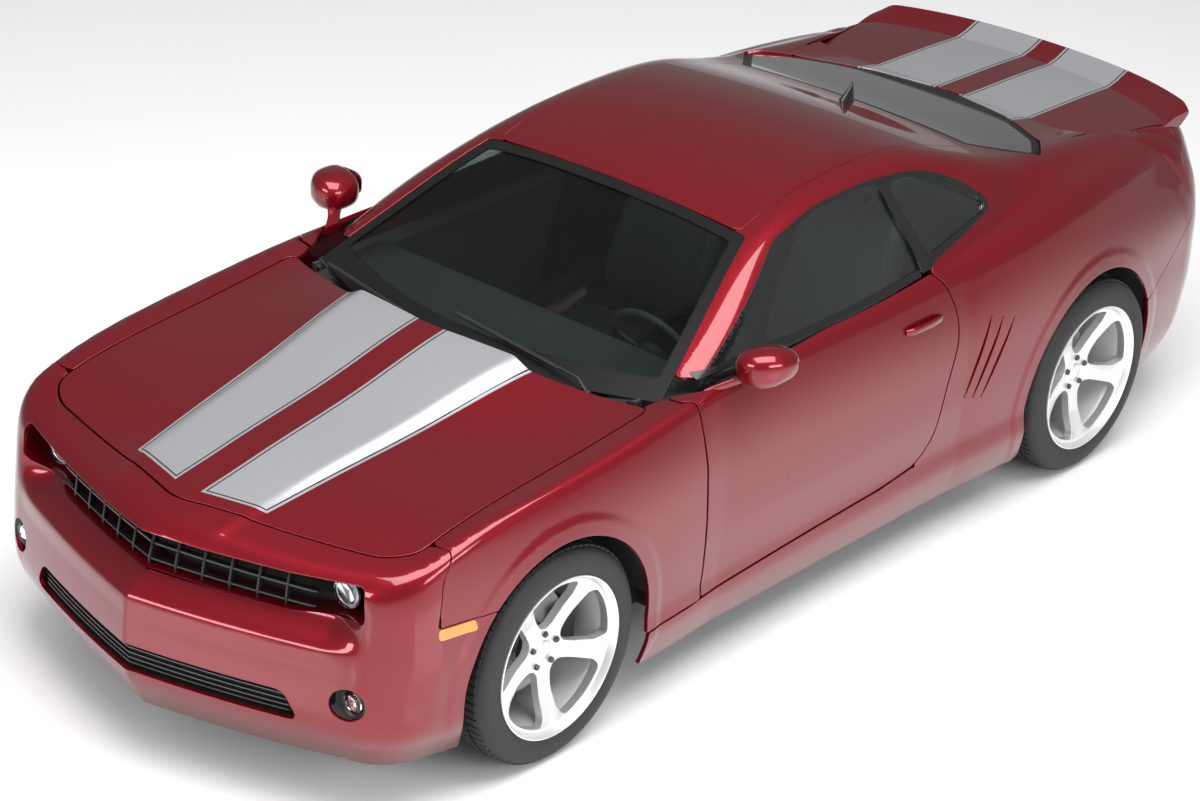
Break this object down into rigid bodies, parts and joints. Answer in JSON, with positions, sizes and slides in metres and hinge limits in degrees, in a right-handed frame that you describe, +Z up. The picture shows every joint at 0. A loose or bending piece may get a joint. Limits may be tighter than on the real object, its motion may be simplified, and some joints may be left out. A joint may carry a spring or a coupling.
{
  "type": "two-door muscle car",
  "caption": "Two-door coupe with long hood, short deck, wide haunches, lip spoiler and five-spoke wheels; wheels roll and steer, doors, hood and trunk lid open.",
  "frame": {"origin": "on the floor under the middle of the overall length, on the car's centre plane", "axes": "+X forwards, +Y to the driver's left, +Z up"},
  "size_m": [4.836, 2.068, 1.388],
  "materials": {
    "paint": "gloss metallic red under clear coat",
    "glass": "tinted",
    "black_plastic": "satin black",
    "lamp_lens": "clear",
    "tail_lens": "red lens",
    "amber_lens": "amber lens",
    "tyre": "black rubber",
    "rim": "bright silver",
    "brake": "machined and dark",
    "chassis": "dark underbody coat",
    "suspension": "dark",
    "exhaust": "brushed",
    "seat": "dark grey",
    "trim": "dark grey"
  },
  "bodies": {
    "body": {"floor_pan": "chassis", "firewall": "chassis", "front_rails": "chassis", "trunk_floor": "chassis", "side_body_left": "paint", "side_body_right": "paint", "fender_left": "paint", "fender_right": "paint", "roof_panel": "paint", "windscreen": "glass", "rear_glass": "glass", "quarter_glass_left": "glass", "quarter_glass_right": "glass", "rear_deck": "paint", "front_bumper": "paint", "rear_bumper": "paint", "upper_grille": "black_plastic", "lower_grille": "black_plastic", "headlamps": "lamp_lens", "fog_lamps": "lamp_lens", "tail_lamps": "tail_lens", "cowl": "black_plastic", "antenna": "paint", "engine_block": "suspension", "exhaust": "exhaust", "front_suspension": "suspension", "rear_suspension": "suspension", "front_seats": "seat", "rear_seat": "seat", "dashboard": "trim", "side_markers": "amber_lens", "wipers": "black_plastic"},
    "hood": {"hood": "paint"},
    "trunk_lid": {"trunk_lid": "paint", "spoiler": "paint"},
    "steering_wheel": {"steering_wheel": "trim"},
    "door_left": {"door_left": "paint", "door_glass_left": "glass", "mirror_left": "paint", "handle_left": "paint"},
    "knuckle_left": {"knuckle_left": "suspension"},
    "door_right": {"door_right": "paint", "door_glass_right": "glass", "mirror_right": "paint", "handle_right": "paint"},
    "knuckle_right": {"knuckle_right": "suspension"},
    "wheel_fl": {"tyre_fl": "tyre", "rim_fl": "rim", "brake_disc_fl": "brake"},
    "wheel_fr": {"tyre_fr": "tyre", "rim_fr": "rim", "brake_disc_fr": "brake"},
    "wheel_rl": {"tyre_rl": "tyre", "rim_rl": "rim", "brake_disc_rl": "brake"},
    "wheel_rr": {"tyre_rr": "tyre", "rim_rr": "rim", "brake_disc_rr": "brake"}
  },
  "joints": [
    {"name": "door_left_hinge", "type": "hinge", "parent": "body", "child": "door_left", "pos_m": [0.85, 0.88, 0.6], "axis": [0, 0, -1], "range_deg": [0, 60]},
    {"name": "steer_left", "type": "hinge", "parent": "body", "child": "knuckle_left", "pos_m": [1.471, 0.726, 0.364], "axis": [0, 0, 1], "range_deg": [-32, 32]},
    {"name": "door_right_hinge", "type": "hinge", "parent": "body", "child": "door_right", "pos_m": [0.85, -0.88, 0.6], "axis": [0, 0, 1], "range_deg": [0, 60]},
    {"name": "steer_right", "type": "hinge", "parent": "body", "child": "knuckle_right", "pos_m": [1.471, -0.726, 0.364], "axis": [0, 0, 1], "range_deg": [-32, 32]},
    {"name": "spin_fl", "type": "hinge", "parent": "knuckle_left", "child": "wheel_fl", "pos_m": [1.471, 0.809, 0.364], "axis": [0, 1, 0], "continuous": true},
    {"name": "spin_fr", "type": "hinge", "parent": "knuckle_right", "child": "wheel_fr", "pos_m": [1.471, -0.809, 0.364], "axis": [0, 1, 0], "continuous": true},
    {"name": "spin_rl", "type": "hinge", "parent": "body", "child": "wheel_rl", "pos_m": [-1.381, 0.814, 0.364], "axis": [0, 1, 0], "continuous": true},
    {"name": "spin_rr", "type": "hinge", "parent": "body", "child": "wheel_rr", "pos_m": [-1.381, -0.814, 0.364], "axis": [0, 1, 0], "continuous": true},
    {"name": "hood_hinge", "type": "hinge", "parent": "body", "child": "hood", "pos_m": [0.895, 0, 0.95], "axis": [0, -1, 0], "range_deg": [0, 48]},
    {"name": "trunk_hinge", "type": "hinge", "parent": "body", "child": "trunk_lid", "pos_m": [-1.34, 0, 0.985], "axis": [0, 1, 0], "range_deg": [0, 62]},
    {"name": "steering_wheel_turn", "type": "hinge", "parent": "body", "child": "steering_wheel", "pos_m": [0.395, 0.37, 0.845], "axis": [-0.9135, 0, 0.4067], "range_deg": [-420, 420]}
  ],
  "couplings": [
    {"joint": "steer_right", "follows": "steer_left", "ratio": 1},
    {"joint": "steering_wheel_turn", "follows": "steer_left", "ratio": 13}
  ]
}
